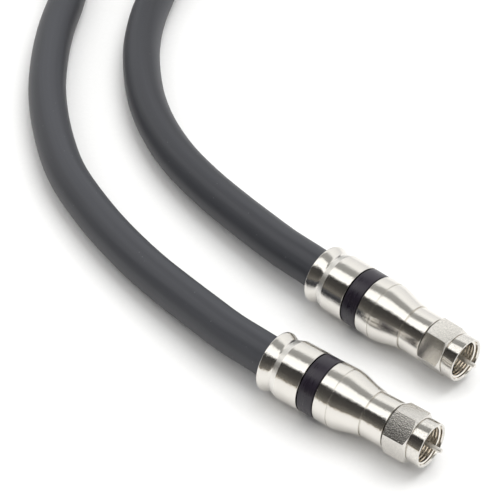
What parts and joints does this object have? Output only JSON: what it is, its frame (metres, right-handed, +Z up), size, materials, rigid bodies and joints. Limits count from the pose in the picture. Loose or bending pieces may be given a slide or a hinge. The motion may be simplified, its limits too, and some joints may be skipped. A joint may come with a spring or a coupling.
{
  "type": "coaxial cable coil",
  "caption": "Thick round coaxial cable wound in a tied coil, both ends fitted with a compression F connector whose coupling nut turns.",
  "frame": {"origin": "on the floor, under the middle of the box round the coil and both leads", "axes": "+Z up from the floor; +Y from the connectors towards the coil; +X to the right when the connectors are seen from their own end"},
  "size_m": [0.1456, 0.3906, 0.0443],
  "materials": {
    "cable_jacket": "matte extruded PVC, charcoal, with soft lengthwise streaks",
    "nickel_plated_brass": "bright turned brass with nickel plating, warm silver, satin on the hexagon",
    "ring_plastic": "black moulded plastic, half gloss",
    "foam_dielectric": "cut face of white foamed polyethylene",
    "conductor_metal": "plain drawn wire, pale metal",
    "tie_nylon": "black nylon"
  },
  "bodies": {
    "cable": {"cable_coil": "cable_jacket", "cable_lead_a": "cable_jacket", "cable_lead_b": "cable_jacket", "cable_tie_1": "tie_nylon", "cable_tie_2": "tie_nylon", "cable_tie_3": "tie_nylon", "compression_sleeve_a": "nickel_plated_brass", "connector_body_a": "nickel_plated_brass", "post_a": "nickel_plated_brass", "plastic_ring_a": "ring_plastic", "dielectric_a": "foam_dielectric", "centre_conductor_a": "conductor_metal", "compression_sleeve_b": "nickel_plated_brass", "connector_body_b": "nickel_plated_brass", "post_b": "nickel_plated_brass", "plastic_ring_b": "ring_plastic", "dielectric_b": "foam_dielectric", "centre_conductor_b": "conductor_metal"},
    "nut_a": {"coupling_nut_a": "nickel_plated_brass"},
    "nut_b": {"coupling_nut_b": "nickel_plated_brass"}
  },
  "joints": [
    {"name": "nut_a_turn", "type": "hinge", "parent": "cable", "child": "nut_a", "pos_m": [0.05195, -0.19112, 0.0075], "axis": [0.7859, -0.6184, 0], "continuous": true},
    {"name": "nut_b_turn", "type": "hinge", "parent": "cable", "child": "nut_b", "pos_m": [0.06165, -0.16402, 0.0075], "axis": [0.7278, -0.6858, 0], "continuous": true}
  ]
}
